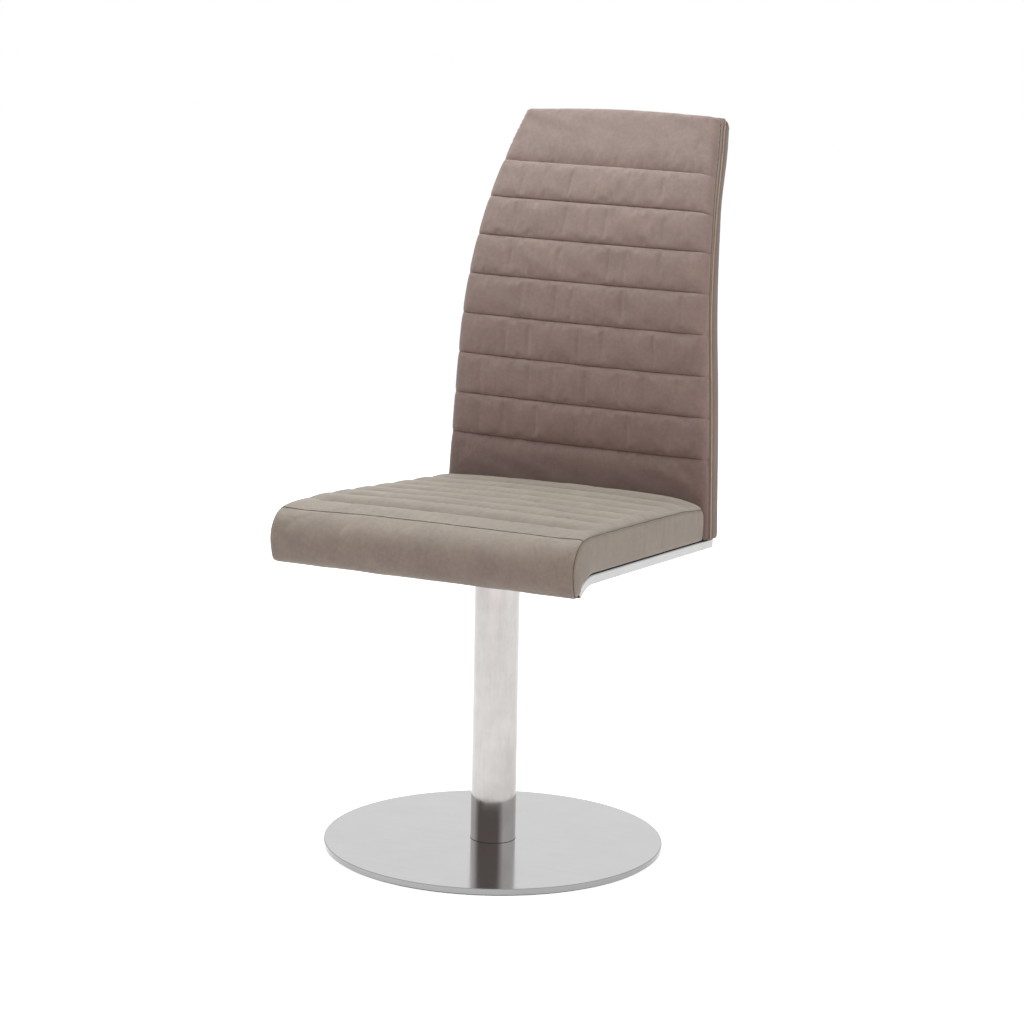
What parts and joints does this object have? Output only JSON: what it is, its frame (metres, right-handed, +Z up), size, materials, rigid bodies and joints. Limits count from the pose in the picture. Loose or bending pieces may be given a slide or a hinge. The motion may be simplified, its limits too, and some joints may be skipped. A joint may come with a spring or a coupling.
{
  "type": "swivel dining chair",
  "caption": "Dining chair that swivels on a round plate and column, with a channel-stitched seat on steel rails and a tall tapered back.",
  "frame": {"origin": "centre of the round base on the floor, on the swivel axis", "axes": "+Z up along the swivel axis, -Y towards the front of the seat, +X to the right as seen from the front"},
  "size_m": [0.4499, 0.6107, 0.9623],
  "materials": {
    "floor_pad": "matt black self-adhesive sheet",
    "base_steel": "straight-brushed stainless steel with a polished edge",
    "column_steel": "finely brushed stainless steel tube",
    "rail_steel": "satin stainless steel flat tube",
    "plain_steel": "turned steel, uncoated",
    "race_steel": "ground bearing steel",
    "zinc_steel": "zinc-plated fasteners",
    "black_steel": "black powder coat",
    "brass": "stamped brass",
    "bush_plastic": "natural acetal",
    "dust_cloth": "black non-woven cloth",
    "plywood": "moulded beech plywood",
    "foam": "cut polyurethane foam",
    "seat_leather": "matt brushed taupe leather",
    "back_leather": "matt brushed taupe leather"
  },
  "bodies": {
    "base": {"floor_pad": "floor_pad", "base_plate": "base_steel", "base_bolts": "zinc_steel", "column_foot_plug": "plain_steel", "column_tube": "column_steel", "bearing_housing": "plain_steel", "lower_bush": "bush_plastic", "upper_bush": "bush_plastic", "lower_race": "race_steel"},
    "bearing_cage": {"ball_cage": "brass", "bearing_balls": "race_steel"},
    "seat": {"upper_race": "race_steel", "swivel_spindle": "plain_steel", "spindle_washer": "zinc_steel", "spindle_retaining_ring": "black_steel", "seat_mount_plate": "black_steel", "mount_plate_screws": "zinc_steel", "mount_weld_nuts": "zinc_steel", "front_cross_bar": "rail_steel", "rear_cross_bar": "rail_steel", "right_side_rail": "rail_steel", "left_side_rail": "rail_steel", "rail_end_caps": "rail_steel", "dust_cover": "dust_cloth", "seat_shell": "plywood", "seat_shell_screws": "zinc_steel", "seat_foam": "foam", "seat_top_panel": "seat_leather", "seat_front_panel": "seat_leather", "seat_right_band": "seat_leather", "seat_left_band": "seat_leather", "seat_rear_band": "seat_leather", "back_frame": "black_steel", "back_foam": "foam", "back_board": "plywood", "back_board_screws": "zinc_steel", "back_rear_pad": "foam", "back_front_cover": "back_leather", "back_rear_cover": "back_leather"}
  },
  "joints": [
    {"name": "seat_swivel", "type": "hinge", "parent": "base", "child": "seat", "pos_m": [0, 0, 0.379], "axis": [0, 0, 1], "continuous": true},
    {"name": "cage_spin", "type": "hinge", "parent": "base", "child": "bearing_cage", "pos_m": [0, 0, 0.379], "axis": [0, 0, 1], "continuous": true}
  ],
  "couplings": [
    {"joint": "cage_spin", "follows": "seat_swivel", "ratio": 0.5}
  ]
}
